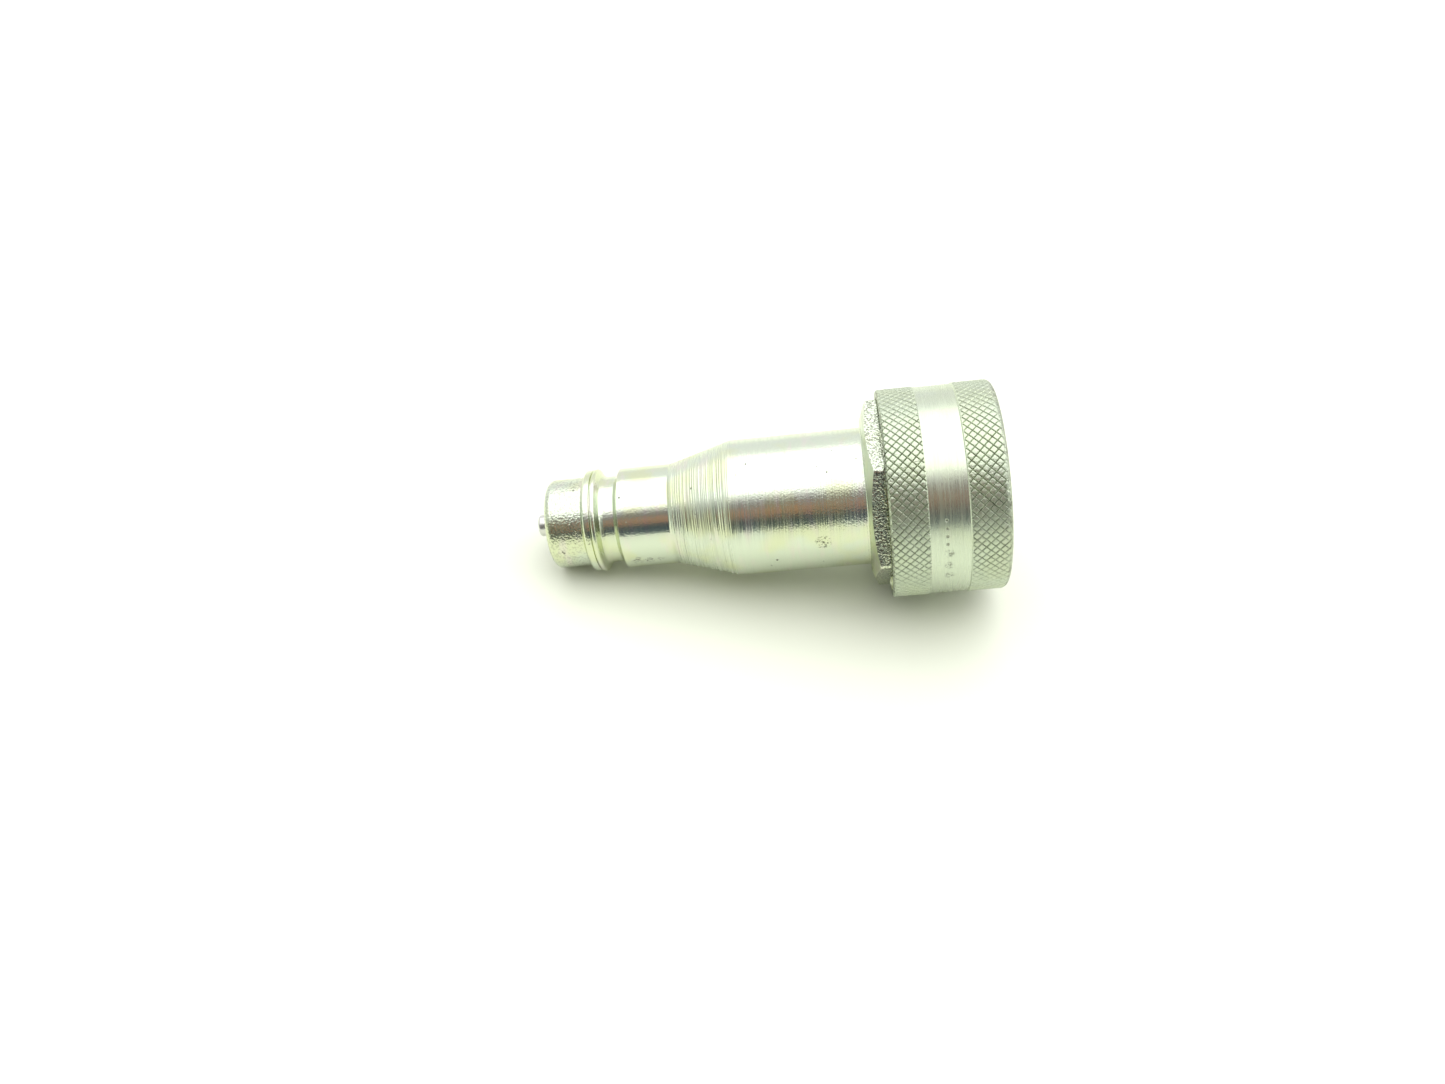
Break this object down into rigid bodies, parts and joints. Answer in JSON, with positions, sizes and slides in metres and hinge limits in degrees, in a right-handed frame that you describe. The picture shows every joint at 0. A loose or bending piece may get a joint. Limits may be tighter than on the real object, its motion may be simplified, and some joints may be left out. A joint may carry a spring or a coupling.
{
  "type": "quick disconnect coupler",
  "caption": "Hydraulic quick disconnect adapter: poppet-valved male plug, conical body and wrench hexagon, with a ball-lock socket under a knurled sliding sleeve.",
  "frame": {"origin": "centre of the bounding box, on the coupler's axis", "axes": "+X along the coupler's axis from the male plug's nose to the ball-lock socket, +Z normal to a wrench flat of the hexagon"},
  "size_m": [0.105, 0.0464, 0.0464],
  "materials": {
    "zinc_turned": "bright zinc plate over fine lathe marks",
    "zinc_knurled": "zinc plate over a diamond knurl, brushed between the bands",
    "bright_steel": "ground steel",
    "ball_steel": "polished ball steel",
    "spring_steel": "oiled spring steel",
    "nitrile": "satin black rubber",
    "ptfe": "waxy white plastic"
  },
  "bodies": {
    "body": {"nipple_body": "zinc_turned", "socket_body": "zinc_turned", "joint_oring": "nitrile", "socket_oring": "nitrile", "socket_backup_ring": "ptfe", "sleeve_stop_ring": "spring_steel", "nipple_guide": "zinc_turned", "nipple_guide_ring": "spring_steel", "nipple_spring": "spring_steel", "coupler_guide": "zinc_turned", "coupler_guide_ring": "spring_steel", "coupler_spring": "spring_steel"},
    "sleeve_spring": {"sleeve_spring": "spring_steel"},
    "sleeve": {"sleeve": "zinc_knurled"},
    "nipple_poppet": {"nipple_poppet": "bright_steel", "nipple_poppet_seal": "nitrile"},
    "coupler_poppet": {"coupler_poppet": "bright_steel", "coupler_poppet_seal": "nitrile"},
    "ball_1": {"locking_ball_1": "ball_steel"},
    "ball_2": {"locking_ball_2": "ball_steel"},
    "ball_3": {"locking_ball_3": "ball_steel"},
    "ball_4": {"locking_ball_4": "ball_steel"},
    "ball_5": {"locking_ball_5": "ball_steel"},
    "ball_6": {"locking_ball_6": "ball_steel"},
    "ball_7": {"locking_ball_7": "ball_steel"},
    "ball_8": {"locking_ball_8": "ball_steel"}
  },
  "joints": [
    {"name": "sleeve_spin", "type": "hinge", "parent": "body", "child": "sleeve_spring", "pos_m": [0.0399, 0, 0], "axis": [1, 0, 0], "continuous": true},
    {"name": "sleeve_slide", "type": "slide", "parent": "sleeve_spring", "child": "sleeve", "axis": [-1, 0, 0], "range_m": [0, 0.006], "stiffness_N_per_m": 3000, "springref_m": -0.006, "deforming": ["sleeve_spring"]},
    {"name": "nipple_poppet_slide", "type": "slide", "parent": "body", "child": "nipple_poppet", "axis": [1, 0, 0], "range_m": [0, 0.0035], "stiffness_N_per_m": 1500, "springref_m": -0.006, "deforming": ["nipple_spring"]},
    {"name": "coupler_poppet_slide", "type": "slide", "parent": "body", "child": "coupler_poppet", "axis": [-1, 0, 0], "range_m": [0, 0.0035], "stiffness_N_per_m": 1500, "springref_m": -0.006, "deforming": ["coupler_spring"]},
    {"name": "ball_1_lift", "type": "slide", "parent": "body", "child": "ball_1", "axis": [0, 0, 1], "range_m": [0, 0.00125]},
    {"name": "ball_2_lift", "type": "slide", "parent": "body", "child": "ball_2", "axis": [0, -0.7071, 0.7071], "range_m": [0, 0.00125]},
    {"name": "ball_3_lift", "type": "slide", "parent": "body", "child": "ball_3", "axis": [0, -1, 0], "range_m": [0, 0.00125]},
    {"name": "ball_4_lift", "type": "slide", "parent": "body", "child": "ball_4", "axis": [0, -0.7071, -0.7071], "range_m": [0, 0.00125]},
    {"name": "ball_5_lift", "type": "slide", "parent": "body", "child": "ball_5", "axis": [0, 0, -1], "range_m": [0, 0.00125]},
    {"name": "ball_6_lift", "type": "slide", "parent": "body", "child": "ball_6", "axis": [0, 0.7071, -0.7071], "range_m": [0, 0.00125]},
    {"name": "ball_7_lift", "type": "slide", "parent": "body", "child": "ball_7", "axis": [0, 1, 0], "range_m": [0, 0.00125]},
    {"name": "ball_8_lift", "type": "slide", "parent": "body", "child": "ball_8", "axis": [0, 0.7071, 0.7071], "range_m": [0, 0.00125]}
  ],
  "couplings": [
    {"joint": "ball_1_lift", "follows": "sleeve_slide", "ratio": 0.20833},
    {"joint": "ball_2_lift", "follows": "sleeve_slide", "ratio": 0.20833},
    {"joint": "ball_3_lift", "follows": "sleeve_slide", "ratio": 0.20833},
    {"joint": "ball_4_lift", "follows": "sleeve_slide", "ratio": 0.20833},
    {"joint": "ball_5_lift", "follows": "sleeve_slide", "ratio": 0.20833},
    {"joint": "ball_6_lift", "follows": "sleeve_slide", "ratio": 0.20833},
    {"joint": "ball_7_lift", "follows": "sleeve_slide", "ratio": 0.20833},
    {"joint": "ball_8_lift", "follows": "sleeve_slide", "ratio": 0.20833}
  ]
}
